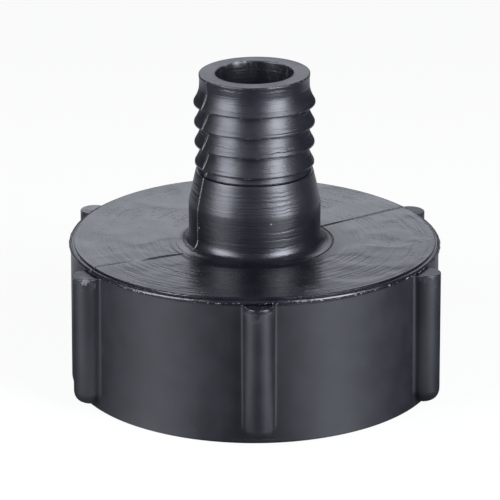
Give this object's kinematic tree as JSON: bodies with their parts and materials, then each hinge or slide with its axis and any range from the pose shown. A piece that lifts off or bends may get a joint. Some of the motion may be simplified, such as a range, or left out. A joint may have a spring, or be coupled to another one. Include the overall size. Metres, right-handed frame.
{
  "type": "ibc tap adapter",
  "caption": "Black moulded screw cap with a coarse internal thread, outer grip ribs and a barbed hose tail on top, with a flat gasket inside.",
  "frame": {"origin": "centre of the open rim's plane, on which the adapter stands", "axes": "+Z along the bore, from the open rim towards the hose tail's mouth; -Y through the middle of the front grip rib"},
  "size_m": [0.073, 0.0804, 0.0615],
  "materials": {
    "moulding": "black moulded plastic, satin to semi-gloss",
    "gasket": "matt black rubber"
  },
  "bodies": {
    "root": {"adapter": "moulding", "gasket": "gasket"}
  },
  "joints": []
}
